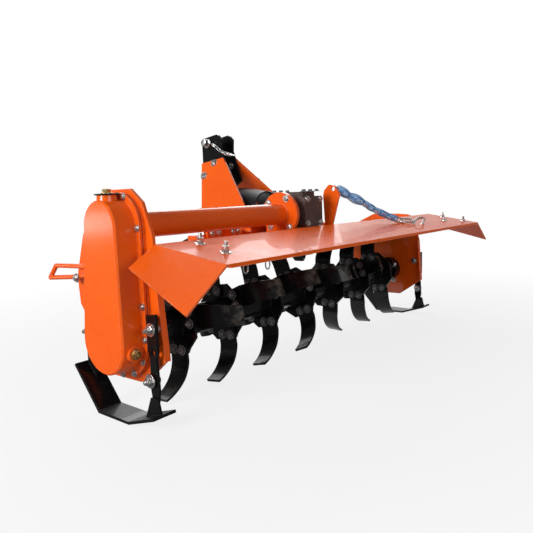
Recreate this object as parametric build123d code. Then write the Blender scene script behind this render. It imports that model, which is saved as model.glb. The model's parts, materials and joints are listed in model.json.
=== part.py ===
from build123d import *
import os
from math import atan, cos, degrees, hypot, radians, sin

# Rotavator: rotary tiller for a three-point linkage. All sizes in millimetres.
# X points to the machine's right, Y forward, Z up; the floor is at Z = 0.
# Everything is drawn about the rotor's axis, at Y = Z = 0, and lifted by AXIS_H when saved.
# Outlines are (Y, Z) pairs unless a comment says otherwise.

# ---- driving dimensions ----------------------------------------------------------------
HALF = 650.0                # outer face of each end plate from the middle
PLATE = 8.0                 # end plate thickness
AXIS_H = 181.0              # rotor axis above the floor
X0, Y0 = 2.4532, 10.0           # middle of the machine's bounding box, taken off every piece

FLANGE_N = 7                # tine flanges
FLANGE_STEP = 169.0         # from flange to flange
FLANGE_T = 8.0
FLANGE_R = 82.0             # across the flange's corners, as a radius
ROTOR_R = 38.0              # rotor tube
STUB_LEFT_R, STUB_RIGHT_R = 29.95, 20.0
TINE_T = 7.0
BEND_START, BEND_R, BEND_DEG = 84.0, 92.6, 72.0     # where a tine starts to curl, and how

TUBE_Y, TUBE_Z, TUBE_R = -16.0, 255.0, 31.0         # cross tube
TUBE_FLANGE_R = 65.5
CASE_R, CASE_TOP_R = 92.0, 75.0     # chain case joint, around the rotor's and the tube's axis
COVER_R, COVER_TOP_R = 78.0, 61.5   # root of the domed cover
COVER_TAPER = 4.0                   # degrees
CASE_OUT = 715.0                    # outer face of the cover
COVER_BEVEL = 4.0
CASE_BACK_T, GASKET_T, RIM_T = 6.0, 2.0, 6.0

GB_X, GB_REAR, GB_FRONT, GB_Z0, GB_Z1 = 46.0, -78.0, 62.0, 212.0, 306.0     # gearbox
PTO_Z = 258.0
PTO_MAJOR_R, PTO_MINOR_R, SPLINE_W = 17.4, 14.8, 8.7      # six-spline shaft

HINGE_Y, HINGE_Z, HINGE_R = -120.0, 199.0, 6.0      # rear board's hinge rod
BOARD_T = 4.0
BOARD_FRONT, BOARD_REAR = (-126.0, 217.0), (-332.0, 184.6)

MAST_TOP_X, MAST_TOP_Z, SPLAY = 38.0, 433.0, 0.46   # outer face of a mast plate, sideways per height
LUG_X0, LUG_X1 = 24.0, 31.5                         # a top-link lug's two faces
TOP_PIN = (338.0, 500.0)
TOP_PIN_R = 9.5

LOWER_PIN = (208.0, 86.0)
LOWER_PIN_R = 11.1
BRACKET_X0, BRACKET_X1, LOWER_PIN_X = 300.0, 312.0, 385.0

SKID_X0, SKID_X1, SKID_T = 639.0, 701.0, 7.0        # sole strip, from its inner to its outer edge
HANGER_X0, HANGER_X1 = 661.0, 668.0                 # skid hanger, on spacers off the end plate

os.makedirs("parts", exist_ok=True)


# ---- helpers ------------------------------------------------------------------------------
def save(node, shape):
    shape = Pos(-X0, -Y0, AXIS_H) * shape
    shape.label = node
    export_step(shape, "parts/" + node + ".step")


def side_plane(x):
    """Plane across the machine at x: its own x is Y, its own y is Z, its normal +X."""
    return Plane(origin=(x, 0, 0), x_dir=(0, 1, 0), z_dir=(1, 0, 0))


def plate(outline, xa, xb):
    """Flat plate between two X values from a (Y, Z) outline."""
    x0, x1 = min(xa, xb), max(xa, xb)
    return extrude(side_plane(x0) * make_face(Polyline(*outline, close=True)), amount=x1 - x0)


def disc(y, z, r, xa, xb):
    """Round bar along X."""
    x0, x1 = min(xa, xb), max(xa, xb)
    return Plane(origin=(x0, y, z), x_dir=(0, 1, 0), z_dir=(1, 0, 0)) * Cylinder(
        r, x1 - x0, align=(Align.CENTER, Align.CENTER, Align.MIN))


def rod(a, b, r):
    a, b = Vector(*a), Vector(*b)
    way = b - a
    return Plane(origin=a, z_dir=way) * Cylinder(
        r, way.length, align=(Align.CENTER, Align.CENTER, Align.MIN))


def block(x0, x1, y0, y1, z0, z1):
    return Pos((x0 + x1) / 2, (y0 + y1) / 2, (z0 + z1) / 2) * Box(x1 - x0, y1 - y0, z1 - z0)


def joined(shapes):
    whole = shapes[0]
    for shape in shapes[1:]:
        whole = whole + shape
    return whole


def between(a, b, share):
    return tuple(p + (q - p) * share for p, q in zip(a, b))


SIDES = ((-1, "left"), (1, "right"))

# ---- end plates: outline, and a rear edge folded inward ------------------------------------
FOLD_W = 8.0
LOWER_FRONT = [(60, -102), (105, -40), (185, 60), (190, 130)]
LEFT_PLATE = [(-48, 336), (-87, 306), (-115, 233), (-120, 108), (-133, -39), (-105, -62),
              (-44, -100)] + LOWER_FRONT + [(150, 235), (70, 318), (30, 336)]
LEFT_FOLD = [(-117.1, 180), (-120, 108), (-133, -39), (-129, -39), (-116, 108), (-113.1, 180)]
RIGHT_PLATE = [(-32, 223), (-78, 220), (-103, 212), (-128, 117), (-138, -39), (-46, -102)
               ] + LOWER_FRONT + [(142, 190), (70, 223)]
RIGHT_FOLD = [(-128, 117), (-138, -39), (-134, -39), (-124, 117)]

left_plate = plate(LEFT_PLATE, -HALF, -HALF + PLATE)
left_plate += plate(LEFT_FOLD, -HALF + PLATE, -HALF + PLATE + FOLD_W)
left_plate -= disc(0, 0, STUB_LEFT_R + 0.05, -HALF - 1, -HALF + PLATE + 1)
save("end_plate_left", left_plate)
right_plate = plate(RIGHT_PLATE, HALF - PLATE, HALF)
right_plate += plate(RIGHT_FOLD, HALF - PLATE - FOLD_W, HALF - PLATE)
right_plate -= disc(0, 0, STUB_RIGHT_R + 0.05, HALF - PLATE - 1, HALF + 1)
save("end_plate_right", right_plate)

# ---- rotor hood, with the lugs that carry the board's hinge rod -------------------------------
HOOD_T = 4.0
HOOD = [(-108, 187), (-60, 188), (34, 188), (84, 174), (142, 132), (180, 95)]
inside = [(y * (1 - HOOD_T / hypot(y, z)), z * (1 - HOOD_T / hypot(y, z))) for y, z in HOOD]
HINGE_LUG = [(-84, 187.5), (-108, 187), (-127, 191), (-130, 199), (-127, 206), (-120, 209), (-112, 207)]
HINGE_LUG_X = (-612, -20, 602)      # left face of each lug
LUG_W = 10.0
hood = [plate(HOOD + inside[::-1], -HALF + PLATE, HALF - PLATE)]
for x in HINGE_LUG_X:
    hood.append(plate(HINGE_LUG, x, x + LUG_W))
save("hood", joined(hood) - disc(HINGE_Y, HINGE_Z, HINGE_R, -HALF, HALF))
save("board_hinge_rod", disc(HINGE_Y, HINGE_Z, HINGE_R, HINGE_LUG_X[0] - 4, HINGE_LUG_X[2] + LUG_W + 4))

# ---- cross tube with its bolting flange -----------------------------------------------------
FLANGE_X0, FLANGE_X1 = -91.0, -79.0
tube = disc(TUBE_Y, TUBE_Z, TUBE_R, -HALF + PLATE, FLANGE_X1)
save("cross_tube", tube + disc(TUBE_Y, TUBE_Z, TUBE_FLANGE_R, FLANGE_X0, FLANGE_X1))

# ---- gearbox -----------------------------------------------------------------------------------
NECK_Y, JOURNAL_Y = 112.0, 70.0     # front of the neck, blind end of the input bore
COVER_Y = GB_REAR + 8
housing = block(-GB_X, GB_X, COVER_Y, GB_FRONT, GB_Z0, GB_Z1)
housing = chamfer(housing.edges().filter_by(Axis.Y).group_by(Axis.Z)[0], 10)
housing += disc(TUBE_Y, TUBE_Z, 42, FLANGE_X1, -GB_X)
housing += rod((0, GB_FRONT, PTO_Z), (0, NECK_Y, PTO_Z), 40)
housing -= rod((0, JOURNAL_Y, PTO_Z), (0, NECK_Y + 1, PTO_Z), 20)
save("gearbox_housing", housing)
rear_cover = block(-GB_X, GB_X, GB_REAR, COVER_Y, GB_Z0 + 3, GB_Z1)
save("gearbox_rear_cover", chamfer(rear_cover.edges().filter_by(Axis.Y), 7))
top_cover = block(-39, 39, -60, 44, GB_Z1, GB_Z1 + 14)
save("gearbox_top_cover", chamfer(top_cover.edges().filter_by(Axis.Z), 9))
save("gearbox_seat", block(-78, 78, -58, 48, 188, GB_Z0))

# six-spline input shaft on a plain journal
spline = Circle(PTO_MINOR_R)
for k in range(3):
    spline += Rot(0, 0, 60 * k) * Rectangle(2 * PTO_MAJOR_R, SPLINE_W)
pto = rod((0, JOURNAL_Y + 0.5, PTO_Z), (0, 124, PTO_Z), 19.7)
pto += extrude(Plane(origin=(0, 124, PTO_Z), x_dir=(1, 0, 0), z_dir=(0, 1, 0)) * spline, amount=90)
save("pto_shaft", pto)

# cone-shaped guard around the shaft, moulded with 32 flats, open at the front
GUARD_T = 4.0
GUARD_REAR, GUARD_FRONT = NECK_Y - 8, 214.0
GUARD_R0, GUARD_R1 = 68.0, 84.0
GUARD_FLATS = 32


def cone(r0, r1, y0, y1):
    """Flat-sided cone along Y about the input shaft."""
    ends = [Plane(origin=(0, y, PTO_Z), x_dir=(1, 0, 0), z_dir=(0, 1, 0)) * RegularPolygon(r, GUARD_FLATS)
            for r, y in ((r0, y0), (r1, y1))]
    return loft(ends, ruled=True)


guard = cone(GUARD_R0, GUARD_R1, GUARD_REAR, GUARD_FRONT)
guard -= cone(GUARD_R0 - GUARD_T, GUARD_R1 - GUARD_T, GUARD_REAR + GUARD_T, GUARD_FRONT + 0.5)
save("pto_guard", guard - rod((0, GUARD_REAR - 1, PTO_Z), (0, NECK_Y, PTO_Z), 40.5))

# ---- hitch beam on the hood ------------------------------------------------------------------------
BEAM_TOP = 206.0
BEAM = [(96, 165.33), (96, BEAM_TOP), (132, BEAM_TOP), (132, 139.26)]
beam = plate(BEAM, -330, 330) - rod((0, 90, PTO_Z), (0, 140, PTO_Z), 74)
save("hitch_beam", beam)

# ---- mast: two plates leaning outward, cut to meet the lugs at the top --------------------------
# outline across the leaning plate: Y, and height Z measured straight up
MAST = [(267, 446), (366, 432), (303, 279), (262, BEAM_TOP), (48, BEAM_TOP), (112, 285)]
MAST_T = 8.0


def mast_plate(side):
    def at(y, z):
        return (side * (MAST_TOP_X + SPLAY * (MAST_TOP_Z - z)), y, z)

    longer = [p if p[1] > BEAM_TOP else (p[0], BEAM_TOP - 12) for p in MAST]
    face = make_face(Polyline(*[at(*p) for p in longer], close=True))
    lean = Vector(side, 0, SPLAY).normalized()
    leaf = extrude(face, amount=MAST_T, dir=(-lean.X, -lean.Y, -lean.Z))
    leaf -= block(-300, 300, 0, 400, 100, BEAM_TOP)
    return leaf - block(-LUG_X1, LUG_X1, 200, 400, 300, 500)


LUG = [(366, 404), (366, 509), (359, 516), (295, 525), (285, 521), (272, 508), (275, 469), (238, 367),
       (262, 352), (300, 352)]
for side, name in SIDES:
    save("mast_plate_" + name, mast_plate(side))
    lug = plate(LUG, side * LUG_X0, side * LUG_X1)
    lug -= disc(*TOP_PIN, TOP_PIN_R + 0.25, -60, 60)
    save("top_link_lug_" + name, lug)
save("top_link_pin", disc(*TOP_PIN, TOP_PIN_R, -50, 52))

# ---- lower hitch: brackets in front of the beam, each with its pin -----------------------------
LOWER = [(132, 139.24), (132, BEAM_TOP), (162, 194), (222, 170), (240, 112), (240, 72), (226, 58),
         (192, 58), (184, 72), (180, 95), (142, 132)]
BOSS_T = 8.0
for side, name in SIDES:
    bracket = plate(LOWER, side * BRACKET_X0, side * BRACKET_X1)
    bracket += disc(*LOWER_PIN, 20, side * BRACKET_X1, side * (BRACKET_X1 + BOSS_T))
    bracket += disc(*LOWER_PIN, LOWER_PIN_R, side * BRACKET_X1, side * LOWER_PIN_X)
    save("lower_hitch_" + name, bracket)

# ---- chain bracket on the hood -----------------------------------------------------------------
CHAIN_HOLE = (-92, 326)
BRACKET = [(-60, 188), (-90, 187.52), (-88, 214), (-116, 309), (-97, 336), (-77, 340), (-58, 322),
           (-54, 306)]
save("chain_bracket", plate(BRACKET, 88, 94) - disc(*CHAIN_HOLE, 7, 80, 100))

# ---- chain case: back plate, gasket, rim and domed cover -----------------------------------------
SPAN = hypot(TUBE_Y, TUBE_Z)


def case_outline(r0, r1, x):
    """Face at x: an arc about the rotor's axis, an arc about the tube's axis, and their tangents."""
    s = (r0 - r1) / SPAN
    c = (1 - s * s) ** 0.5
    uy, uz = TUBE_Y / SPAN, TUBE_Z / SPAN
    ahead = (uy * s + uz * c, uz * s - uy * c)
    behind = (uy * s - uz * c, uz * s + uy * c)
    low_a, low_b = (ahead[0] * r0, ahead[1] * r0), (behind[0] * r0, behind[1] * r0)
    top_a = (TUBE_Y + ahead[0] * r1, TUBE_Z + ahead[1] * r1)
    top_b = (TUBE_Y + behind[0] * r1, TUBE_Z + behind[1] * r1)
    edge = Line(low_a, top_a)
    edge += ThreePointArc(top_a, (TUBE_Y + uy * r1, TUBE_Z + uz * r1), top_b)
    edge += Line(top_b, low_b)
    edge += ThreePointArc(low_b, (-uy * r0, -uz * r0), low_a)
    return side_plane(x) * make_face(edge)


back_x = -HALF - CASE_BACK_T
gasket_x = back_x - GASKET_T
rim_x = gasket_x - RIM_T
back = extrude(case_outline(CASE_R, CASE_TOP_R, back_x), amount=CASE_BACK_T)
save("case_back", back)
save("case_gasket", extrude(case_outline(CASE_R, CASE_TOP_R, gasket_x), amount=GASKET_T))
dome = extrude(case_outline(COVER_R, COVER_TOP_R, rim_x), amount=-(CASE_OUT + rim_x), taper=COVER_TAPER)
dome = chamfer(dome.faces().sort_by(Axis.X)[0].edges(), COVER_BEVEL)
cover = extrude(case_outline(CASE_R, CASE_TOP_R, rim_x), amount=RIM_T) + dome
DRAIN = (-688, -20)         # X and Z of the drain plug, in a round boss on the cover's rear side
cover += rod((DRAIN[0], -50, DRAIN[1]), (DRAIN[0], -82, DRAIN[1]), 17)
save("case_cover", cover)


def hex_plug(at, way, across, length):
    return extrude(Plane(origin=at, z_dir=way) * RegularPolygon(across / 2, 6, major_radius=False),
                   amount=length)


save("drain_plug", hex_plug((DRAIN[0], -82, DRAIN[1]), (0, -1, 0), 17, 9))
save("filler_plug", hex_plug((-688, -21, 304), (0, 0, 1), 17, 18) - cover)

# ---- front guard loop on the left plate ----------------------------------------------------------
LOOP_X, LOOP_R = -HALF - 7, 6.0
LOOP = [(112, 158), (276, 152), (311, 118), (190, 128), (112, 140)]
loop = []
for a, b in zip(LOOP, LOOP[1:]):
    loop.append(rod((LOOP_X, *a), (LOOP_X, *b), LOOP_R))
loop.append(block(LOOP_X - 1, -HALF, 112, 124, 136, 162))
save("guard_loop", joined(loop))

# ---- rotor: tube, flanges, tines ---------------------------------------------------------------------
TUBE_END = 598.0
shaft = disc(0, 0, ROTOR_R, -TUBE_END, TUBE_END)
shaft += disc(0, 0, STUB_LEFT_R, -HALF + 0.3, -TUBE_END)
shaft += disc(0, 0, STUB_RIGHT_R, TUBE_END, HALF)
save("rotor_shaft", shaft)
# bearing hubs on the end plates' inner faces, cast with 24 flats
HUB = [(47 * cos(radians(15 * k)), 47 * sin(radians(15 * k))) for k in range(24)]
save("rotor_hub_left", plate(HUB, -HALF + PLATE, -TUBE_END - 8)
     - disc(0, 0, STUB_LEFT_R + 0.05, -HALF, -TUBE_END))
save("rotor_hub_right", plate(HUB, TUBE_END + 8, HALF - PLATE)
     - disc(0, 0, STUB_RIGHT_R + 0.05, TUBE_END, HALF))

# a tine pointing down, seen from the side: the blade leans back to its tip
TINE = [(-45, -42), (13, -42), (13, -84), (22, -185), (-22, -185), (-38, -132), (-45, -90)]


def bent_strip(side):
    """Flat bar along -Z from its flange, curling towards +X or -X, wider than any tine."""
    x_in, x_out = FLANGE_T / 2, FLANGE_T / 2 + TINE_T
    centre = (x_in + TINE_T / 2 + BEND_R, -BEND_START)

    def on_arc(r, deg):
        return (side * (centre[0] - r * cos(radians(deg))), centre[1] - r * sin(radians(deg)))

    near, far = BEND_R - TINE_T / 2, BEND_R + TINE_T / 2
    edge = Line((side * x_in, -42), (side * x_in, -BEND_START))
    edge += ThreePointArc(on_arc(far, 0), on_arc(far, BEND_DEG / 2), on_arc(far, BEND_DEG))
    edge += Line(on_arc(far, BEND_DEG), on_arc(near, BEND_DEG))
    edge += ThreePointArc(on_arc(near, BEND_DEG), on_arc(near, BEND_DEG / 2), on_arc(near, 0))
    edge += Line((side * x_out, -BEND_START), (side * x_out, -42))
    edge += Line((side * x_out, -42), (side * x_in, -42))
    plane = Plane(origin=(0, 0, 0), x_dir=(1, 0, 0), z_dir=(0, -1, 0))
    return extrude(plane * make_face(edge), amount=60, both=True)


tine = {side: bent_strip(side) & plate(TINE, -110, 110) for side in (-1, 1)}

# Each flange from left to right: how far a left-bending and a right-bending tine point back from
# straight down, in degrees; each has a twin on the far side of the shaft. The last has one kind only.
LAG = ((5, 99), (8, 114), (13, 116), (22, 112), (112, -2), (114, 4), (None, 9))
sets = {-1: [], 1: []}
flanges = []
for k, lags in enumerate(LAG):
    spot = Pos((k - FLANGE_N // 2) * FLANGE_STEP, 0, 0)
    octagon = side_plane(-FLANGE_T / 2) * Rot(0, 0, 22.5) * RegularPolygon(FLANGE_R, 8)
    flanges.append(spot * Rot(-min(lag for lag in lags if lag is not None), 0, 0)
                   * extrude(octagon, amount=FLANGE_T))
    for side, lag in zip((-1, 1), lags):
        if lag is not None:
            for turn in (-lag, 180 - lag):
                sets[side].append(spot * Rot(turn, 0, 0) * tine[side])
save("tine_flanges", joined(flanges) - disc(0, 0, ROTOR_R, -HALF, HALF))
save("tines_left", joined(sets[-1]))
save("tines_right", joined(sets[1]))

# ---- rear board: folded lip, knuckles on the hinge rod, and two bent-down wings -------------------
slope = (BOARD_FRONT[1] - BOARD_REAR[1]) / (BOARD_FRONT[0] - BOARD_REAR[0])
tilt = degrees(atan(slope))


def board_z(y, under=0.0):
    """Height of the board's top at y, or of a face that far under it."""
    return BOARD_FRONT[1] + slope * (y - BOARD_FRONT[0]) - under / cos(radians(tilt))


LIP = (-336.0, 177.0)
PROFILE = [BOARD_FRONT, BOARD_REAR, LIP, (LIP[0] + 4, LIP[1] + 1), (-330, board_z(-330, BOARD_T)),
           (BOARD_FRONT[0], board_z(BOARD_FRONT[0], BOARD_T))]
# the board seen from above, as (X, Y); the right wing is set further out on its slots
PLAN = [(-652, -120), (735, -120), (709, -332), (560, -345), (-620, -345), (-649, -332)]
board = plate(PROFILE, -700, 760)
board &= Pos(0, 0, 100) * extrude(make_face(Polyline(*PLAN, close=True)), amount=200)
KNUCKLE = [(-134, board_z(-134, BOARD_T)), (-130, 199), (-127, 192), (-120, 189.5), (-113, 192),
           (-110, 199), (-113, 206), (-122, 213), BOARD_FRONT,
           (BOARD_FRONT[0], board_z(BOARD_FRONT[0], BOARD_T))]
KNUCKLE_X = (-560, 520)
parts = [board]
for x in KNUCKLE_X:
    parts.append(plate(KNUCKLE, x, x + 40) - disc(HINGE_Y, HINGE_Z, HINGE_R + 0.3, x - 1, x + 41))
save("rear_board", joined(parts))

# wing corners, (X, Y, Z): two on the board's end and two below it
WING = {
    "left": [(-652, -126, 217), (-649, -332, 184.6), (-770, -346, 111), (-723, -125, 176)],
    "right": [(735, -126, 217), (709, -332, 184.6), (766, -346, 117), (779, -128, 176)],
}


def wing(name):
    f, r, low_r, low_f = [Vector(*p) for p in WING[name]]
    across = (low_r - r) - (f - r) * ((low_r - r).dot(f - r) / (f - r).dot(f - r))
    normal = (f - r).cross(across).normalized()
    if normal.Z < 0:
        normal = normal * -1
    flat = [p - normal * (p - f).dot(normal) for p in (f, r, low_r, low_f)]
    return extrude(make_face(Polyline(*[tuple(p) for p in flat], close=True)), amount=BOARD_T,
                   dir=(-normal.X, -normal.Y, -normal.Z))


for name in ("left", "right"):
    save("board_wing_" + name, wing(name) - board)

EYE_X, EYE_Y = 368.0, -235.0
eye = hex_plug((EYE_X, EYE_Y, board_z(EYE_Y) - 1), (0, 0, 1), 12, 15)
save("board_eye", eye - plate(PROFILE, 300, 400))

# ---- lift chain: long eight-sided links, each turned a quarter about the chain's run -----------------------
LINK_W, WIRE = 17.0, 5.0
CHAIN = [(101, -96, 328), (140, -116, 303), (188, -141, 279), (224, -160, 255), (271, -185, 231),
         (304, -202, 217)]
HOOK = (350, -226, 206.5)


def stadium(length, width):
    """Eight-sided face with slanted ends, in place of round ones."""
    x, y, cut = length / 2, width / 2, width * 0.29
    return make_face(Polyline((x, cut), (x - cut, y), (cut - x, y), (-x, cut), (-x, -cut), (cut - x, -y),
                              (x - cut, -y), (x, -cut), close=True))


def link(a, b, turn):
    a, b = Vector(*a), Vector(*b)
    way = b - a
    side = way.cross(Vector(0, 0, 1)).normalized()
    flat = Plane(origin=(a + b) * 0.5, x_dir=way, z_dir=way.cross(side))
    ring = stadium(way.length + 2 * WIRE, LINK_W) - stadium(way.length, LINK_W - 2 * WIRE)
    return flat * Rot(turn, 0, 0) * extrude(ring, amount=WIRE / 2, both=True)


links = []
for a, b in zip(CHAIN, CHAIN[1:]):
    mid = between(a, b, 0.5)
    links += [link(a, mid, 0), link(mid, b, 90)]
links.append(link(CHAIN[-1], HOOK, 0))
save("lift_chain", joined(links))

# ---- depth skids: bent sole strip, front ear, rear lug, and the hanger bar -------------------------
# at rest the sole is on the floor; the spare holes let it be set 50 mm higher
SOLE = -AXIS_H
STRIP = [(150, -80), (61, SOLE), (-56, SOLE), (-146, -152)]
STRIP_TOP = [(-144.6, -145.2), (-55, SOLE + SKID_T), (57.8, SOLE + SKID_T), (144.8, -75.3)]
EAR = [(111, -116), (143, -79), (143, 6), (136, 14), (118, 14), (111, 6)]
EAR_HOLE = (127, -48)
HANGER = [(-99, 65), (-130, 69), (-130, -14), (-124, -30), (-127, -100), (-122, -128), (-106, -128),
          (-101, -100), (-104, -30), (-99, -14)]
HANGER_HOLE = (-115, -17)
REAR_LUG = [(-136, -149.5), (-128, -116), (-106, -116), (-84, -166.5)]
HOLE_R = 6.5
for side, name in SIDES:
    skid = plate(STRIP + STRIP_TOP, side * SKID_X0, side * SKID_X1)
    skid += plate(EAR, side * HANGER_X0, side * HANGER_X1)
    skid += plate(REAR_LUG, side * HANGER_X1, side * (HANGER_X1 + 6))
    skid -= disc(*EAR_HOLE, HOLE_R, side * (HANGER_X0 - 1), side * (HANGER_X1 + 1))
    save("skid_" + name, skid)
    hanger = plate(HANGER, side * HANGER_X0, side * HANGER_X1)
    hanger -= disc(*HANGER_HOLE, HOLE_R, side * (HANGER_X0 - 1), side * (HANGER_X1 + 1))
    save("skid_hanger_" + name, hanger)
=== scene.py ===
import json
from math import cos, pi, radians, sin

import bmesh
import bpy
from mathutils import Matrix, Vector


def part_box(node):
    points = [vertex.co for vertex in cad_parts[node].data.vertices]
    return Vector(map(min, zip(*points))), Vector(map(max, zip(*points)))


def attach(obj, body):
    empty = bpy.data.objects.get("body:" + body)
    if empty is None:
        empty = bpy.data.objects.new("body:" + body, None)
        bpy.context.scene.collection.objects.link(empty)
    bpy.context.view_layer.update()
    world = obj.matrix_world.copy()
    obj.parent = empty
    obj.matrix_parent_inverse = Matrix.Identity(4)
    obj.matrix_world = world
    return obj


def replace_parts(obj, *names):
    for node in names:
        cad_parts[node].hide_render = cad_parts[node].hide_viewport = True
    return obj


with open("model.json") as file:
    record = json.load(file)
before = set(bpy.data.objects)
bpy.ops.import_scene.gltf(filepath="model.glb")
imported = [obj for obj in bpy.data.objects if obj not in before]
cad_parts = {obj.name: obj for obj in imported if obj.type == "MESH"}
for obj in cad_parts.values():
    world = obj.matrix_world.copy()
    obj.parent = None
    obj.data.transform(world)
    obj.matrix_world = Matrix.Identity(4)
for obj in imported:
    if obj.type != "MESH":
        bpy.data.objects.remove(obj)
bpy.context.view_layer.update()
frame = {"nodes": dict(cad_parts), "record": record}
NODES = frame["nodes"]


# ---- places --------------------------------------------------------------------------------------
# Everything is placed from the rotor's axis at the machine's middle, in millimetres.
low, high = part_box("rotor_shaft")
AXIS = (low + high) / 2


def at(x, y, z):
    """A point given in millimetres from the middle of the rotor's axis, in the row frame."""
    return AXIS + Vector((x, y, z)) / 1000


LEFT, RIGHT = Vector((-1, 0, 0)), Vector((1, 0, 0))
AHEAD, BEHIND = Vector((0, 1, 0)), Vector((0, -1, 0))
UP = Vector((0, 0, 1))
SIDES = ((-1, "left", LEFT), (1, "right", RIGHT))       # sign of X, name, way out

HALF = 650                              # outer faces of the end plates
RIM_X = -664                            # outer face of the case's joint
TUBE_Y, TUBE_Z = -16, 255               # axis of the cross tube
TUBE_END_X, TUBE_FLANGE_X = -641.5, -91
TUBE_WELD_R, TUBE_BOLT_R = 32, 53
GB_REAR, GB_TOP = -78, 320              # gearbox faces that carry bolts
MAST_HALF, MAST_LEAN, MAST_KNEE_Z = 38, 0.46, 433       # outer face at the knee, its slope below it
BOARD_SLOPE = 0.1573
BOARD_FRONT_Y, BOARD_FRONT_Z = -126, 217
PTO_Z = 258
FLANGE_STEP, FLANGE_T, TINE_T = 169, 8, 7
HANGER_X0, HANGER_X = 661, 668          # inner and outer face of a skid's hanger
HANGER_GAP = 0.4                        # between a bolt on the frame and the hanger that slides


def mast_x(z):
    """How far the outer face of a mast plate is from the middle at that height."""
    return MAST_HALF + MAST_LEAN * (MAST_KNEE_Z - z)


def board_z(y):
    """Height of the rear board's upper face."""
    return BOARD_FRONT_Z + BOARD_SLOPE * (y - BOARD_FRONT_Y)


# ---- node materials ------------------------------------------------------------------------------
class Paint:
    """A material with a few helpers for the procedural nodes that all finishes share."""

    def __init__(self, name, **sockets):
        self.material = bpy.data.materials.new(name)
        self.material.use_nodes = True
        self.tree = self.material.node_tree
        self.shader = self.tree.nodes["Principled BSDF"]
        for socket, value in sockets.items():
            self.shader.inputs[socket.replace("_", " ")].default_value = value
        self.place = self.add("ShaderNodeTexCoord").outputs["Object"]

    def add(self, kind, **settings):
        node = self.tree.nodes.new(kind)
        for key, value in settings.items():
            if hasattr(node, key):
                setattr(node, key, value)
            else:
                node.inputs[key].default_value = value
        return node

    def link(self, a, b):
        self.tree.links.new(a, b)

    def noise(self, scale, detail=4.0, roughness=0.6, stretch=None):
        place = self.place
        if stretch:
            mapping = self.add("ShaderNodeMapping")
            mapping.inputs["Scale"].default_value = stretch
            self.link(place, mapping.inputs["Vector"])
            place = mapping.outputs["Vector"]
        node = self.add("ShaderNodeTexNoise", Scale=scale, Detail=detail, Roughness=roughness)
        self.link(place, node.inputs["Vector"])
        return node.outputs["Fac"]

    def ramp(self, value, start, end, low=0.0, high=1.0):
        """low where value is at start and high where it is at end, clamped."""
        node = self.add("ShaderNodeMapRange")
        node.inputs["From Min"].default_value = start
        node.inputs["From Max"].default_value = end
        node.inputs["To Min"].default_value = low
        node.inputs["To Max"].default_value = high
        self.link(value, node.inputs["Value"])
        return node.outputs["Result"]

    def times(self, a, b):
        """Socket a times b, a number or a socket."""
        node = self.add("ShaderNodeMath", operation="MULTIPLY")
        self.link(a, node.inputs[0])
        if isinstance(b, float):
            node.inputs[1].default_value = b
        else:
            self.link(b, node.inputs[1])
        return node.outputs["Value"]

    def mix(self, share, a, b):
        """Colour a where share is 0 and b where it is 1; each is a colour or a socket."""
        node = self.add("ShaderNodeMix", data_type="RGBA")
        self.link(share, node.inputs["Factor"])
        for socket, colour in ((node.inputs[6], a), (node.inputs[7], b)):
            if isinstance(colour, tuple):
                socket.default_value = (*colour, 1)
            else:
                self.link(colour, socket)
        return node.outputs[2]

    def facing_up(self):
        """1 on what faces up, 0 on a wall and -1 on what faces down."""
        split = self.add("ShaderNodeSeparateXYZ")
        self.link(self.add("ShaderNodeNewGeometry").outputs["Normal"], split.inputs[0])
        return split.outputs["Z"]

    def from_axis(self):
        """Distance from the rotor's axis, in metres."""
        gap = self.add("ShaderNodeVectorMath", operation="SUBTRACT")
        self.link(self.place, gap.inputs[0])
        gap.inputs[1].default_value = AXIS
        flat = self.add("ShaderNodeVectorMath", operation="MULTIPLY")
        self.link(gap.outputs["Vector"], flat.inputs[0])
        flat.inputs[1].default_value = (0, 1, 1)
        size = self.add("ShaderNodeVectorMath", operation="LENGTH")
        self.link(flat.outputs["Vector"], size.inputs[0])
        return size.outputs["Value"]

    def edges(self, radius):
        """The rounded normal, and a mask that is 1 along sharp edges."""
        rounded = self.add("ShaderNodeBevel", samples=4)
        rounded.inputs["Radius"].default_value = radius
        plain = self.add("ShaderNodeNewGeometry").outputs["Normal"]
        dot = self.add("ShaderNodeVectorMath", operation="DOT_PRODUCT")
        self.link(rounded.outputs[0], dot.inputs[0])
        self.link(plain, dot.inputs[1])
        return rounded.outputs[0], self.ramp(dot.outputs["Value"], 0.995, 0.88)

    def bump(self, height, strength, distance, normal=None):
        node = self.add("ShaderNodeBump")
        node.inputs["Strength"].default_value = strength
        node.inputs["Distance"].default_value = distance
        self.link(height, node.inputs["Height"])
        if normal is not None:
            self.link(normal, node.inputs["Normal"])
        return node.outputs["Normal"]

    def colour(self, socket):
        self.link(socket, self.shader.inputs["Base Color"])

    def rough(self, socket):
        self.link(socket, self.shader.inputs["Roughness"])

    def normal(self, socket):
        self.link(socket, self.shader.inputs["Normal"])


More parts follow.
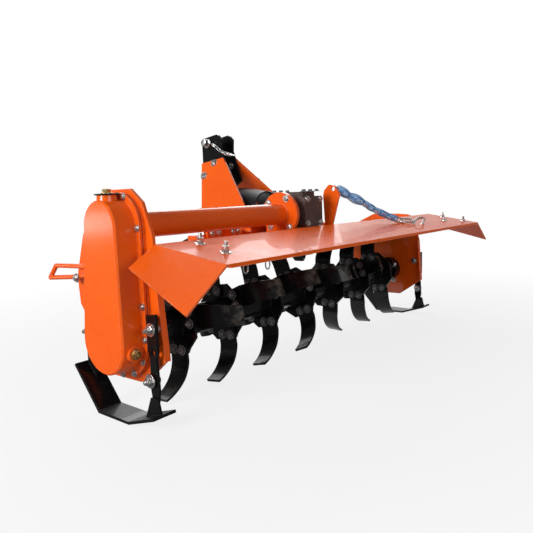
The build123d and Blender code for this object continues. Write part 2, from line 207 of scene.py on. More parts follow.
def enamel(name, main, deep, worn, rough, coat, specular, wear=0.65, under=None, bare=None,
           dust=0.16, scratches=0.20, coat_rough=0.03):
    """Sprayed enamel: cloudy colour, orange peel, fine scratches, dust on top, paler worn edges; in the
    orange paint these are pale enough to be painted edge highlights too.

    under: colour painted on the faces that look down, as painted shade.
    bare: colour that the rotor's tools wear to at their tips.
    """
    paint = Paint(name, Coat_Weight=coat, Coat_Roughness=coat_rough, Specular_IOR_Level=specular)
    cloud = paint.ramp(paint.noise(4.0), 0.35, 0.7)
    base = paint.mix(cloud, main, deep)
    # painted shade: faces that look down take the under colour
    if under:
        base = paint.mix(paint.ramp(paint.facing_up(), -0.1, -0.35), base, under)
    rounded, edge = paint.edges(0.0016)
    rub = paint.times(edge, paint.ramp(paint.noise(55.0), 0.36, 0.60))
    # along sharp edges the colour turns to the worn one; the orange's near-white worn colour also paints edge
    # highlights
    base = paint.mix(paint.times(rub, wear), base, worn)
    scratch = paint.ramp(paint.noise(34.0, 6.0, 0.7, (0.25, 1.0, 0.6)), 0.66, 0.74, 0.0, scratches)
    base = paint.mix(scratch, base, worn)
    settled = paint.ramp(paint.noise(11.0, 6.0), 0.45, 0.8, 0.0, dust)
    base = paint.mix(paint.times(paint.ramp(paint.facing_up(), 0.6, 1.0), settled), base, DUST)
    if bare:
        tip = paint.times(paint.ramp(paint.from_axis(), 0.145, 0.180),
                          paint.ramp(paint.noise(48.0), 0.44, 0.66))
        base = paint.mix(paint.times(tip, 0.75), base, bare)
    paint.colour(base)
    paint.rough(paint.ramp(paint.noise(23.0, 5.0), 0.3, 0.75, rough - 0.05, rough + 0.10))
    paint.normal(paint.bump(paint.noise(420.0, 2.0), 0.04, 0.0006, rounded))
    return paint.material


def metal(name, main, deep, rough, grain=160.0):
    """Plated or bare steel: mottled tone and a fine, uneven polish."""
    steel = Paint(name, Metallic=1.0)
    steel.colour(steel.mix(steel.ramp(steel.noise(70.0), 0.35, 0.7), main, deep))
    steel.rough(steel.ramp(steel.noise(grain, 5.0), 0.3, 0.7, rough - 0.07, rough + 0.12))
    rounded = steel.edges(0.0006)[0]
    steel.normal(steel.bump(steel.noise(grain * 2, 3.0), 0.06, 0.0003, rounded))
    return steel.material


def casting(name, main, deep, worn):
    """Painted cast iron: grainy skin under dull paint, rubbed along its edges."""
    iron = Paint(name, Specular_IOR_Level=0.35)
    base = iron.mix(iron.ramp(iron.noise(26.0, 6.0), 0.35, 0.7), main, deep)
    rounded, edge = iron.edges(0.003)
    rub = iron.times(edge, iron.ramp(iron.noise(60.0), 0.4, 0.65, 0.0, 0.5))
    iron.colour(iron.mix(rub, base, worn))
    iron.rough(iron.ramp(iron.noise(60.0), 0.3, 0.7, 0.34, 0.52))
    iron.normal(iron.bump(iron.noise(190.0, 5.0), 0.25, 0.0009, rounded))
    return iron.material


def plastic(name, main, rough, alpha=1.0, specular=0.5):
    """Moulded plastic or rubber, see-through where alpha is under 1."""
    moulded = Paint(name, Alpha=alpha, Specular_IOR_Level=specular)
    moulded.colour(moulded.mix(moulded.noise(40.0), main, tuple(c * 0.7 for c in main)))
    moulded.rough(moulded.ramp(moulded.noise(90.0), 0.3, 0.7, rough - 0.05, rough + 0.08))
    moulded.normal(moulded.bump(moulded.noise(300.0), 0.05, 0.0004))
    return moulded.material


DUST = (0.46, 0.38, 0.31)
# the third orange is the colour of worn edges and scratches, made near white so the edges also carry painted
# highlights
ORANGE_MAIN, ORANGE_DEEP, ORANGE_WORN_AND_EDGE_HIGHLIGHT = (0.88, 0.118, 0.006), (0.80, 0.098, 0.004), (0.97, 0.64, 0.48)
BLACK_MAIN, BLACK_DEEP = (0.0060, 0.0060, 0.0068), (0.0042, 0.0042, 0.0048)
ORANGE_PAINT = (ORANGE_MAIN, ORANGE_DEEP, ORANGE_WORN_AND_EDGE_HIGHLIGHT)
BLACK_PAINT = (BLACK_MAIN, BLACK_DEEP, (0.060, 0.057, 0.054))
BARE_STEEL = (0.16, 0.14, 0.12)
GREY_PAINT = ((0.17, 0.168, 0.165), (0.05, 0.049, 0.048), (0.50, 0.49, 0.48))

# after the colours: roughness, weight of the clear coat, strength of the base's own gloss
ORANGE = enamel("orange_enamel", *ORANGE_PAINT, 0.28, 0.80, 0.08, dust=0.08)
# painted shade: the hood's faces that look down are painted black
HOOD_PAINTED_SHADE_UNDER = enamel("hood_enamel_painted_shade", *ORANGE_PAINT, 0.28, 0.80, 0.08, under=BLACK_MAIN, dust=0.08)
CASE_ORANGE = enamel("case_enamel", *ORANGE_PAINT, 0.28, 0.55, 0.08, dust=0.06, coat_rough=0.13)
BOARD_ORANGE = enamel("board_enamel", *ORANGE_PAINT, 0.30, 0.20, 0.08, dust=0.06)
BLACK = enamel("black_enamel", *BLACK_PAINT, 0.28, 0.35, 0.10, dust=0.04, scratches=0.06)
TOOL_BLACK = enamel("tool_enamel", *BLACK_PAINT, 0.28, 0.25, 0.10, bare=BARE_STEEL, dust=0.01, scratches=0.03)
RUBBED = enamel("rubbed_bolts", *GREY_PAINT, 0.36, 0.0, 0.5, wear=0.8)
IRON = casting("cast_iron", (0.105, 0.068, 0.062), (0.070, 0.046, 0.042), (0.24, 0.20, 0.18))
ZINC = metal("zinc_plate", (0.80, 0.80, 0.78), (0.56, 0.56, 0.56), 0.28)
STEEL = metal("ground_steel", (0.50, 0.50, 0.50), (0.34, 0.33, 0.32), 0.34)
BRASS = metal("yellow_zinc", (0.72, 0.55, 0.24), (0.50, 0.36, 0.16), 0.30)
RUBBER = plastic("black_rubber", (0.010, 0.010, 0.010), 0.6, specular=0.3)
BLACK_PLASTIC = plastic("black_plastic", (0.012, 0.012, 0.014), 0.38, specular=0.4)
SLEEVE = plastic("blue_sleeve", (0.11, 0.42, 0.88), 0.10, alpha=0.40)

FINISH = {
    "orange_paint": ORANGE,
    "black_paint": BLACK,
    "case_iron": IRON,
    "zinc": ZINC,
    "steel": STEEL,
    "brass": BRASS,
    "rubber": RUBBER,
    "black_plastic": BLACK_PLASTIC,
}
OWN_FINISH = {
    "hood": HOOD_PAINTED_SHADE_UNDER,
    "rear_board": BOARD_ORANGE,
    "case_cover": CASE_ORANGE,
    "tines_left": TOOL_BLACK,
    "tines_right": TOOL_BLACK,
}
for part in frame["record"]["subparts"]:
    node = NODES[part["node"]]
    node.data.materials.clear()
    node.data.materials.append(OWN_FINISH.get(part["node"]) or FINISH[part["material_slot"]])


# ---- mesh making ---------------------------------------------------------------------------------
WASHER_T, PITCH = 1.8, 1.5              # washer's thickness, thread's pitch
WELD_STEP, WELD_RIPPLE = 3.5, 0.16      # length of one ripple, its share of the bead's radius


def skin(mesh, pairs):
    """Quads between the two loops of each pair."""
    for a, b in pairs:
        for j in range(len(a)):
            mesh.faces.new((a[j], a[(j + 1) % len(a)], b[(j + 1) % len(a)], b[j]))


def close_ends(mesh, loops):
    """One face over the first loop and one over the last."""
    mesh.faces.new(loops[0][::-1])
    mesh.faces.new(loops[-1])


def axes_about(way):
    """way and two directions square to it, all of length 1."""
    way = way.normalized()
    across = way.orthogonal().normalized()
    return way, across, way.cross(across)


def ring(mesh, spot, axes, radius, along, sides, phase=0.0):
    """Loop of vertices about the first of the axes, along millimetres from spot."""
    way, across, other = axes
    loop = []
    for k in range(sides):
        turn = phase + 2 * pi * k / sides
        offset = (across * cos(turn) + other * sin(turn)) * radius + way * along
        loop.append(mesh.verts.new(spot + offset / 1000))
    return loop


def turned(mesh, spot, way, rings, sides=24, phase=0.0):
    """Solid of rings (radius, distance along way), in millimetres, about an axis from spot."""
    axes = axes_about(way)
    loops = [ring(mesh, spot, axes, radius, along, sides, phase) for radius, along in rings]
    skin(mesh, zip(loops, loops[1:]))
    close_ends(mesh, loops)


def revolved(mesh, spot, way, profile, sides=48):
    """Closed profile of (radius, distance along way) turned about an axis from spot."""
    axes = axes_about(way)
    loops = [ring(mesh, spot, axes, radius, along, sides) for radius, along in profile]
    skin(mesh, zip(loops, loops[1:] + loops[:1]))


def oval(spot, across, other, count=12):
    """Points round spot; across and other are the two half axes, in millimetres."""
    turns = [2 * pi * k / count for k in range(count)]
    return [spot + (across * cos(turn) + other * sin(turn)) / 1000 for turn in turns]


def rings_along(mesh, points, radii, sides, closed):
    """One ring of vertices a point, turned smoothly along the run."""
    count = len(points)
    loops = []
    normal = None
    for k, p in enumerate(points):
        before = points[k - 1] if k or closed else p
        after = points[(k + 1) % count] if k < count - 1 or closed else p
        way = (after - before).normalized()
        if normal is None:
            normal = way.orthogonal().normalized()
        normal = (normal - way * normal.dot(way)).normalized()
        other = way.cross(normal)
        loops.append(ring(mesh, p, (way, normal, other), radii[k], 0, sides))
    return loops


def wire(mesh, points, radius, sides=8, closed=False):
    """Round wire through points; radius is one number or one a point."""
    radii = radius if isinstance(radius, list) else [radius] * len(points)
    loops = rings_along(mesh, points, radii, sides, closed)
    skin(mesh, list(zip(loops, loops[1:])) + ([(loops[-1], loops[0])] if closed else []))
    if not closed:
        close_ends(mesh, loops)


def hose(mesh, points, radii, wall, sides=24):
    """Open thin-walled tube through points."""
    outer = rings_along(mesh, points, radii, sides, False)
    inner = rings_along(mesh, points, [r - wall for r in radii], sides, False)
    skin(mesh, list(zip(outer, outer[1:])) + list(zip(inner[1:], inner)))
    skin(mesh, [(inner[0], outer[0]), (outer[-1], inner[-1])])


def link(mesh, a, b, turn, wide, radius):
    """Oval chain link between two points where its neighbours touch it."""
    way = (b - a).normalized()
    side = way.cross(UP).normalized()
    across = side * cos(turn) + way.cross(side) * sin(turn)
    half = (wide / 2 - radius) / 1000
    back = min(half - radius / 1000, (b - a).length / 2)
    points = []
    for centre, start in ((b - way * back, -90), (a + way * back, 90)):
        for k in range(9):
            turned_by = radians(start + 22.5 * k)
            points.append(centre + way * half * cos(turned_by) + across * half * sin(turned_by))
    wire(mesh, points, radius, 10, closed=True)


def weld(mesh, corners, radius=2.6, closed=False):
    """Weld bead through corners, with its ripples."""
    points, radii = [], []
    ends = corners[1:] + ([corners[0]] if closed else [])
    for a, b in zip(corners, ends):
        count = max(1, round((b - a).length * 1000 / WELD_STEP))
        for k in range(count):
            points.append(a.lerp(b, k / count))
            radii.append(radius * (1 + WELD_RIPPLE * (-1) ** len(points)))
    if not closed:
        points.append(corners[-1])
        radii.append(radius * 0.7)
        radii[0] = radius * 0.7
    wire(mesh, points, radii, 6, closed)


def ring_weld(mesh, x, y, z, around, radius=2.6):
    """Weld bead round something with its axis along X."""
    weld(mesh, oval(at(x, y, z), AHEAD * around, UP * around, 24), radius, closed=True)


def bolt(mesh, spot, way, across=13, washer=True, stud=0, nuts=1):
    """Hexagon head on a washer; with a stud, a nut or two whose thread stands that far out."""
    base = 0.0
    if washer:
        turned(mesh, spot, way, [(across * 0.86, 0), (across * 0.90, 0.4), (across * 0.88, WASHER_T)], 20)
        base = WASHER_T
    corner = across * 0.577         # radius over the corners of a hexagon that wide over its flats
    tall = across * 0.48
    for k in range(nuts):
        turn = (spot.x * 37 + spot.y * 53 + spot.z * 29 + k * 0.37) % 1
        turned(mesh, spot, way, [(corner * 0.88, base), (corner, base + tall * 0.16),
                                 (corner, base + tall * 0.84), (corner * 0.86, base + tall)], 6, turn)
        base += tall
    if stud:
        thread = across * 0.3
        rings = [(thread, base - 1)]
        for k in range(int(stud / PITCH)):
            rings += [(thread, base + PITCH * k + 0.4), (thread * 0.88, base + PITCH * k + 1.1)]
        turned(mesh, spot, way, rings + [(thread * 0.75, base + stud)], 14)


def flat_bar(mesh, outline, way, thick):
    """Flat plate: outline's points and their copies thick millimetres along way."""
    near = [mesh.verts.new(p) for p in outline]
    far = [mesh.verts.new(p + way * thick / 1000) for p in outline]
    skin(mesh, [(near, far)])
    close_ends(mesh, (near, far))


def piece(name, mesh, material, body, smooth=40):
    """The mesh as a named object on a body, sharp where its faces turn by more than smooth degrees."""
    data = bpy.data.meshes.new(name)
    bmesh.ops.recalc_face_normals(mesh, faces=mesh.faces)
    mesh.to_mesh(data)
    mesh.free()
    data.materials.append(material)
    data.shade_smooth()
    data.set_sharp_from_angle(angle=radians(smooth))
    thing = bpy.data.objects.new(name, data)
    bpy.context.scene.collection.objects.link(thing)
    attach(thing, body)
    return thing


# ---- chain case ----------------------------------------------------------------------------------
REACH = Vector((TUBE_Y, TUBE_Z)).length
ALONG = Vector((TUBE_Y, TUBE_Z)) / REACH
RIM_BOLTS = ((-43, 319), (-79, 251), (-79, 168), (-79, 81), (-77, 7), (-69, -42), (-40, -77), (3, -91))
RIM_LOW_R, RIM_TOP_R = 85.5, 68.5


def on_rim(y, z):
    """The point of the rim's middle line that is nearest, as (y, z)."""
    spot = Vector((y, z))
    share = min(max(spot.dot(ALONG) / REACH, 0), 1)
    centre = ALONG * REACH * share
    return centre + (spot - centre).normalized() * (RIM_LOW_R + (RIM_TOP_R - RIM_LOW_R) * share)


def mirrored(spot):
    """The same point on the other side of the line through the case's two axes."""
    run = ALONG * spot.dot(ALONG)
    return run * 2 - spot


case = bmesh.new()
for y, z in RIM_BOLTS:
    spot = on_rim(y, z)
    for place in ((spot, mirrored(spot)) if y < 0 else (spot,)):
        bolt(case, at(RIM_X, place.x, place.y), LEFT, 9.5)
piece("case_bolts", case, ZINC, "frame")

# filler: a neck on the cover's top, its rubber seal and brass cap
FILLER = (-688, -17)
neck = bmesh.new()
turned(neck, at(*FILLER, 296), UP, [(24, 0), (22.5, 6), (22, 24), (21, 28), (18, 28)], 32)
piece("filler_neck", neck, ORANGE, "frame")
seal = bmesh.new()
turned(seal, at(*FILLER, 324), UP, [(25, 0), (26.5, 0.8), (26.5, 2.6), (25, 3.2)], 32)
piece("filler_seal", seal, RUBBER, "frame")
cap = bmesh.new()
turned(cap, at(*FILLER, 325), UP, [(13, 0), (13, 4), (10.5, 5)], 28)
turned(cap, at(*FILLER, 329.5), UP, [(9.4, 0), (9.8, 1), (9.8, 7), (8.4, 8)], 6, 0.4)
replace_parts(piece("filler_cap", cap, BRASS, "frame"), "filler_plug")
# drain: brass hexagon with a six-sided socket's rim, in its boss
drain = bmesh.new()
DRAIN = ((0.1, 0), (13, 0), (13, 2), (10, 2.6), (9.8, 8.2), (8.6, 9.2), (5, 9.2), (4.6, 4), (0.1, 4))
revolved(drain, at(-688, -82, -20), BEHIND, DRAIN, 6)
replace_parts(piece("drain_screw", drain, BRASS, "frame"), "drain_plug")

# ---- fixed frame: bolts --------------------------------------------------------------------------
TUBE_BOLTS = ((-40, 297), (-45, 223), (35, 295), (22, 214))     # y, z they lie towards
PLATE_BOLTS = ((-112, 34), (127, 2))                            # y, z on both end plates
LEFT_FACING = (                                                 # x, y, z: hanger, right hub, lug
    (642, -108, 36),
    (606, -39, 22), (606, -36, -39), (606, 39, 22), (606, 36, -39),
    (24, 283, 420),
)
zinc = bmesh.new()
for y, z in TUBE_BOLTS:
    way = Vector((y - TUBE_Y, z - TUBE_Z)).normalized() * TUBE_BOLT_R
    bolt(zinc, at(TUBE_FLANGE_X, TUBE_Y + way.x, TUBE_Z + way.y), LEFT, 12)
for x in (-31, 35):
    for z in (224, 297):
        bolt(zinc, at(x, GB_REAR, z), BEHIND, 11)
top = bmesh.new()
for x in (-34, 0, 34):
    for y in (-66, 48):
        bolt(top, at(x, y, GB_TOP), UP, 11)
piece("top_cover_bolts", top, RUBBED, "frame")
for side, name, outer in SIDES:
    for y, z in PLATE_BOLTS:
        turned(zinc, at(side * HALF, y, z), outer, [(12, 0), (12, 10 + HANGER_GAP)], 20)
        bolt(zinc, at(side * (HANGER_X + HANGER_GAP), y, z), outer, 17, stud=8)
for x, y, z in LEFT_FACING:
    bolt(zinc, at(x, y, z), LEFT, 13)
bolt(zinc, at(-663, 172, 127), LEFT, 13)
piece("frame_bolts", zinc, ZINC, "frame")

MAST_BOLTS = {                  # y, z on the left and on the right plate
    "left": ((304, 430), (336, 388), (100, 232), (226, 232)),
    "right": ((304, 430), (336, 388), (206, 364), (100, 232), (226, 232)),
}
mast = bmesh.new()
for side, name, outer in SIDES:
    for y, z in MAST_BOLTS[name]:
        bolt(mast, at(side * mast_x(z), y, z), outer + UP * MAST_LEAN, 15)
piece("mast_bolts", mast, ZINC, "frame")

# ---- hitch beam: an orange strip along its rear face ---------------------------------------------
STRIP_Y, STRIP_LOW, STRIP_HIGH, STRIP_T = 96, 188, 224, 6
strip = bmesh.new()
for x0, x1, rounded_end in ((-292, -153, False), (-127, 46, True)):
    outline = [at(x0, STRIP_Y, STRIP_LOW), at(x0, STRIP_Y, STRIP_HIGH)]
    if rounded_end:
        half = (STRIP_HIGH - STRIP_LOW) / 2
        for k in range(9):
            turn = radians(90 - 22.5 * k)
            outline.append(at(x1 - half + half * cos(turn), STRIP_Y, STRIP_LOW + half + half * sin(turn)))
    else:
        outline += [at(x1, STRIP_Y, STRIP_HIGH), at(x1, STRIP_Y, STRIP_LOW)]
    flat_bar(strip, outline, BEHIND, STRIP_T)
piece("beam_strip", strip, ORANGE, "frame")
beam = bmesh.new()
for x in (-273, -246, -184, -160):
    bolt(beam, at(x, STRIP_Y - STRIP_T, 209), BEHIND, 12)
for x in (-285, -250, -180, 180, 250, 285):
    bolt(beam, at(x, 114, 206), UP, 15)
piece("beam_bolts", beam, ZINC, "frame")

# ---- welds ---------------------------------------------------------------------------------------
welds = bmesh.new()
for x in (TUBE_FLANGE_X - 0.5, TUBE_END_X):
    ring_weld(welds, x, TUBE_Y, TUBE_Z, TUBE_WELD_R)
BEAM_WELD_Z = 206.8
for side, name, outer in SIDES:
    for off in (0.5, -8.5):     # outer and inner face of the mast plate
        x = side * (mast_x(BEAM_WELD_Z) + off)
        weld(welds, [at(x, 134, BEAM_WELD_Z), at(x, 97, BEAM_WELD_Z)])
for x in (87.5, 94.5):
    weld(welds, [at(x, -62, 189), at(x, -88, 188.6)])
piece("weld_beads", welds, ORANGE, "frame")
dark_welds = bmesh.new()
for k in range(-3, 4):
    for side in (-1, 1):
        ring_weld(dark_welds, k * FLANGE_STEP + side * (FLANGE_T / 2 + 1), 0, 0, 38.5, 2.8)
piece("rotor_welds", dark_welds, BLACK, "rotor")

# ---- drive shaft's guard -------------------------------------------------------------------------
GUARD = (                       # radius, distance ahead: foot, outside, lip, inside
    (66, 0), (68.5, 0), (70, 2), (70, 6),
    (69.2, 9), (77, 50), (83, 98),
    (84, 103), (84, 108), (82, 110), (79.5, 109),
    (79, 98), (73, 50), (65.5, 8), (65, 2),
)
guard = bmesh.new()
revolved(guard, at(0, 104, PTO_Z), AHEAD, GUARD, 64)
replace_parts(piece("guard_cone", guard, BLACK_PLASTIC, "frame"), "pto_guard")

# ---- top-link pin's head, chain and linchpin -----------------------------------------------------
PIN_Y, PIN_Z = 338, 500
pin = bmesh.new()
turned(pin, at(-50, PIN_Y, PIN_Z), LEFT, [(11, -3), (11.8, -2), (11.8, 2.4), (10, 3.6)], 28)
for x, out in ((-31.8, LEFT), (31.8, RIGHT)):
    turned(pin, at(x, PIN_Y, PIN_Z), out, [(14, 0), (14.5, 0.5), (14.5, 2.0), (14, 2.4)], 28)
wire(pin, oval(at(-44, PIN_Y - 8, PIN_Z - 4), BEHIND * 13, UP * 13), 2.2, 8, closed=True)
PIN_CHAIN = ((-40, 308, 494), (-38, 291, 482), (-37, 274, 469), (-36, 256, 459), (-36, 238, 454))
spots = [at(*p) for p in PIN_CHAIN]
for k, (a, b) in enumerate(zip(spots, spots[1:])):
    link(pin, a, b, pi / 2 * (k % 2) + 0.3, 13, 1.9)
LINCHPIN = ((4.5, 0), (4.8, 1), (4.8, 12), (3, 16), (3, 30), (2, 32))
turned(pin, at(-36, 240, 454), BEHIND - UP * 0.18, LINCHPIN, 14)
wire(pin, oval(at(-36, 236, 455), AHEAD * 9, RIGHT * 9), 1.8, 8, closed=True)
piece("pin_chain", pin, ZINC, "frame")

# ---- lift chain ----------------------------------------------------------------------------------
CHAIN = (
    (101, -96, 328), (140, -116, 303), (188, -141, 279),
    (224, -160, 255), (271, -185, 231), (304, -202, 219),
)
LINK_WIDE, LINK_WIRE, HOOK_WIRE = 23, 2.8, 3.4
SLEEVE_WIDE, SLEEVE_SLIM = (11.0, 5.2), (9.6, 2.0)      # radius at a joint, bulge between two
SLEEVE_WIDE_X = 150             # beyond this it is slimmer than the photo's, to clear the lowered board
chain = bmesh.new()
spots = [at(*p) for p in CHAIN]
for a, b in zip(spots, spots[1:]):
    middle = (a + b) / 2
    link(chain, a, middle, 0.5, LINK_WIDE, LINK_WIRE)
    link(chain, middle, b, 0.5 + pi / 2, LINK_WIDE, LINK_WIRE)
link(chain, at(296, -198, 220), at(330, -214, 209), 1.2, LINK_WIDE, HOOK_WIRE)
link(chain, at(320, -210, 213), at(362, -232, 210), 0.6, 26, HOOK_WIRE)
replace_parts(piece("chain_links", chain, ZINC, "chain"), "lift_chain")
run, radii = [], []
for a, b in zip(CHAIN, CHAIN[1:]):
    neck_r, bulge = SLEEVE_WIDE if a[0] < SLEEVE_WIDE_X else SLEEVE_SLIM
    a, b = at(*a), at(*b)
    for k in range(12):
        share = k / 12
        run.append(a.lerp(b, share))
        radii.append(neck_r + bulge * sin(pi * share) ** 0.8 + 0.4 * sin(9 * share + a.x * 70))
sleeve = bmesh.new()
hose(sleeve, run[1:], radii[1:], 0.8)
piece("chain_sleeve", sleeve, SLEEVE, "chain", 180)

# ---- rear board: its eye, studs and rings --------------------------------------------------------
BOARD_UP = Vector((0, -BOARD_SLOPE, 1)).normalized()
BOARD_T = 4


def on_board(x, y, up=0.0):
    """Point on the board's upper face, or that far over it."""
    return at(x, y, board_z(y)) + BOARD_UP * up / 1000


EYE_FEET = ((358, -236), (396, -250))
BOARD_STUDS = ((-560, -164, 2), (-575, -255, 2), (700, -198, 1), (676, -287, 1))    # x, y, nuts
eye = bmesh.new()
foot, far_foot = (on_board(*p) for p in EYE_FEET)
span = (far_foot - foot) / 2
rise = (BOARD_UP + Vector((1.0, -0.1, 0))).normalized()
arch = [foot - BOARD_UP * 0.003, foot + rise * 0.008]
for k in range(9):
    turn = radians(180 - 22.5 * k)
    arch.append(foot + span + span * cos(turn) + rise * (0.016 + 0.012 * sin(turn)))
wire(eye, arch + [far_foot + rise * 0.008, far_foot - BOARD_UP * 0.003], 3.4, 10)
for spot in (foot, far_foot):
    turned(eye, spot, BOARD_UP, [(8, 0), (8.4, 0.5), (8.2, 1.6)], 20)
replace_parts(piece("board_hook_eye", eye, ZINC, "board"), "board_eye")
studs = bmesh.new()
for x, y, nuts in BOARD_STUDS:
    bolt(studs, on_board(x, y), BOARD_UP, 14, stud=9, nuts=nuts)
bolt(studs, on_board(597, -247), BOARD_UP, 15)
for x, y in [(x, y) for x, y, nuts in BOARD_STUDS] + [(420, -236)]:
    bolt(studs, on_board(x, y, -BOARD_T), -BOARD_UP, 15)
for x in (-599, -532):
    wire(studs, oval(at(x, -332, 171), RIGHT * 7, UP * 10), 1.5, 8, closed=True)
piece("board_studs", studs, ZINC, "board")

# ---- skids: clevis bolts -------------------------------------------------------------------------
for side, name, outer in SIDES:
    joint = bmesh.new()
    bolt(joint, at(side * 674, -108, -79), outer, 18, stud=6)
    bolt(joint, at(side * HANGER_X0, -112, -79), -outer, 14)
    piece("clevis_bolt_" + name, joint, ZINC, "skid_" + name)

# ---- tine bolts: two through each shank and its flange -------------------------------------------
# how far each flange's left-bending and right-bending pair point back from straight down, in degrees
LAG = ((5, 99), (8, 114), (13, 116), (22, 112), (112, -2), (114, 4), (None, 9))
SHANK_BOLTS = ((-29, 62), (0, 60))      # across and along the shank, from the rotor's axis
tine_bolts = bmesh.new()
for k, lags in enumerate(LAG):
    x = (k - 3) * FLANGE_STEP
    for (side, name, outer), lag in zip(SIDES, lags):
        if lag is None:
            continue
        for turn in (radians(-lag), radians(180 - lag)):
            for wide, out in SHANK_BOLTS:
                y, z = wide * cos(turn) + out * sin(turn), wide * sin(turn) - out * cos(turn)
                bolt(tine_bolts, at(x + side * (FLANGE_T / 2 + TINE_T), y, z), outer, 15)
                bolt(tine_bolts, at(x - side * FLANGE_T / 2, y, z), -outer, 15, stud=5)
piece("tine_bolts", tine_bolts, RUBBED, "rotor")

# ---- floor and light -----------------------------------------------------------------------------
WHITE = (1, 1, 1, 1)
BACKGROUND_WAY = (0.76, 0.65, 0)       # level direction from the machine to the background
ROOM_LIGHT = 0.20           # strength of the world's light on the object
ROOM_DARK_SIDE = 0.16       # how bright a gloss sees the room at the camera's side; ahead of it is white


def combined(tree, operation, a, b):
    """Two number sockets through one maths node."""
    node = tree.nodes.new("ShaderNodeMath")
    node.operation = operation
    tree.links.new(a, node.inputs[0])
    tree.links.new(b, node.inputs[1])
    return node.outputs[0]


def vector_maths(tree, operation, vector, constant=None):
    """A vector socket through one maths node; the node, whose output depends on the operation."""
    node = tree.nodes.new("ShaderNodeVectorMath")
    node.operation = operation
    tree.links.new(vector, node.inputs[0])
    if constant:
        node.inputs[1].default_value = constant
    return node


def blended(tree, share, a, b):
    """Shader a where share is 0 and b where it is 1."""
    node = tree.nodes.new("ShaderNodeMixShader")
    for socket, source in zip(node.inputs, (share, a, b)):
        tree.links.new(source, socket)
    return node.outputs[0]


def seen_plainly(tree):
    """1 for what the camera, a gloss or a glass looks at, and 0 for light on the object."""
    path = tree.nodes.new("ShaderNodeLightPath")
    value = combined(tree, "MAXIMUM", path.outputs["Is Camera Ray"], path.outputs["Is Glossy Ray"])
    return path, combined(tree, "MAXIMUM", value, path.outputs["Is Transmission Ray"])


def ranged(tree, value, start, end, low, high):
    """low where value is at start and high where it is at end, clamped."""
    node = tree.nodes.new("ShaderNodeMapRange")
    for name, number in (("From Min", start), ("From Max", end), ("To Min", low), ("To Max", high)):
        node.inputs[name].default_value = number
    tree.links.new(value, node.inputs["Value"])
    return node.outputs["Result"]


def floor():
    """Pale ground that takes the object's shadow and fades to plain white away from it."""
    mesh = bpy.data.meshes.new("floor")
    reach = 14.0
    corners = [(-reach, -reach, 0), (reach, -reach, 0), (reach, reach, 0), (-reach, reach, 0)]
    mesh.from_pydata(corners, [], [(0, 1, 2, 3)])
    material = bpy.data.materials.new("pale_floor")
    material.use_nodes = True
    tree = material.node_tree
    shader = tree.nodes["Principled BSDF"]
    shader.inputs["Base Color"].default_value = (0.62, 0.62, 0.62, 1)
    shader.inputs["Roughness"].default_value = 0.9
    shader.inputs["Specular IOR Level"].default_value = 0.0
    place = tree.nodes.new("ShaderNodeTexCoord").outputs["Object"]
    away = vector_maths(tree, "LENGTH", place)
    share = ranged(tree, away.outputs["Value"], 0.8, 2.0, 0.82, 1.0)
    heading = vector_maths(tree, "NORMALIZE", place)
    side = vector_maths(tree, "DOT_PRODUCT", heading.outputs["Vector"], BACKGROUND_WAY)
    path, seen = seen_plainly(tree)
    looked_at = path.outputs["Is Camera Ray"]
    reflected = combined(tree, "SUBTRACT", seen, looked_at)
    plain = combined(tree, "ADD", combined(tree, "MULTIPLY", share, looked_at), reflected)
    depth = ranged(tree, side.outputs["Value"], 0.4, 0.9, ROOM_DARK_SIDE, 1.0)
    white = tree.nodes.new("ShaderNodeEmission")
    white.inputs["Color"].default_value = WHITE
    tree.links.new(combined(tree, "MAXIMUM", depth, looked_at), white.inputs["Strength"])
    mixed = blended(tree, plain, shader.outputs[0], white.outputs[0])
    tree.links.new(mixed, tree.nodes["Material Output"].inputs["Surface"])
    mesh.materials.append(material)
    ground = bpy.data.objects.new("floor", mesh)
    bpy.context.scene.collection.objects.link(ground)


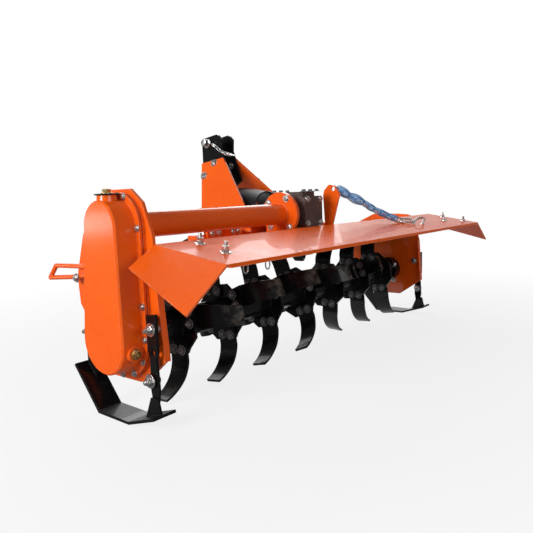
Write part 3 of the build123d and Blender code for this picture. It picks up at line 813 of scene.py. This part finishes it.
def sky():
    """White to the camera, gloss and glass; a dim even room as light."""
    world = bpy.data.worlds.new("studio")
    bpy.context.scene.world = world
    world.use_nodes = True
    tree = world.node_tree
    tree.nodes.clear()
    path, seen = seen_plainly(tree)
    place = tree.nodes.new("ShaderNodeTexCoord").outputs["Generated"]
    ahead = vector_maths(tree, "DOT_PRODUCT", place, BACKGROUND_WAY)
    depth = ranged(tree, ahead.outputs["Value"], 0.5, 0.95, ROOM_DARK_SIDE, 1.0)
    plain = combined(tree, "MAXIMUM", depth, path.outputs["Is Camera Ray"])
    room = tree.nodes.new("ShaderNodeBackground")
    white = tree.nodes.new("ShaderNodeBackground")
    room.inputs["Color"].default_value = (0.94, 0.97, 1.0, 1)
    room.inputs["Strength"].default_value = ROOM_LIGHT
    white.inputs["Color"].default_value = WHITE
    tree.links.new(plain, white.inputs["Strength"])
    out = tree.nodes.new("ShaderNodeOutputWorld")
    mixed = blended(tree, seen, room.outputs[0], white.outputs[0])
    tree.links.new(mixed, out.inputs["Surface"])


def softbox(name, spot, aim, wide, tall, watts):
    """Rectangular white lamp at spot that shines on aim; all in metres from the machine's foot."""
    data = bpy.data.lights.new(name, "AREA")
    data.shape = "RECTANGLE"
    data.size, data.size_y = wide, tall
    data.energy = watts
    lamp = bpy.data.objects.new(name, data)
    lamp.location = spot
    lamp.rotation_euler = (Vector(aim) - Vector(spot)).to_track_quat("-Z", "Y").to_euler()
    bpy.context.scene.collection.objects.link(lamp)


floor()
sky()
MIDDLE = (0, 0, 0.35)
# name, place, aim, width, height, watts
softbox("key_left", (-6.0, 0.8, 2.6), MIDDLE, 3.0, 2.2, 355)
softbox("ahead_panel", (3.0, 2.7, 2.7), (3.0, 0, 0.35), 6.0, 2.6, 120)
softbox("fill_behind", (-1.2, -5.5, 1.8), MIDDLE, 3.0, 2.0, 66)
softbox("case_band", (-2.2, 2.75, 0.34), (-0.715, -0.05, 0.44), 0.8, 0.16, 2.6)

# ---- camera --------------------------------------------------------------------------------------
CAMERA_SPOT = at(-1371.6, -1036.4, 306.0)
TURN, LOOK_DOWN, ROLL = radians(-49.87), radians(7.25), radians(-2.12)
FOCAL, SENSOR = 36.57, 36.0             # millimetres

forward = Vector((-sin(TURN) * cos(LOOK_DOWN), cos(TURN) * cos(LOOK_DOWN), -sin(LOOK_DOWN)))
level_right = Vector((cos(TURN), sin(TURN), 0))
level_up = level_right.cross(forward)
right = level_right * cos(ROLL) + level_up * sin(ROLL)
up = level_up * cos(ROLL) - level_right * sin(ROLL)
data = bpy.data.cameras.new("camera")
data.lens = FOCAL
data.sensor_width = SENSOR
data.clip_start = 0.02
camera = bpy.data.objects.new("camera", data)
facing = Matrix((right, up, -forward)).transposed().to_4x4()
camera.matrix_world = Matrix.Translation(CAMERA_SPOT) @ facing
bpy.context.scene.collection.objects.link(camera)
bpy.context.scene.camera = camera

bpy.context.scene.view_settings.view_transform = "Standard"

bpy.context.view_layer.update()
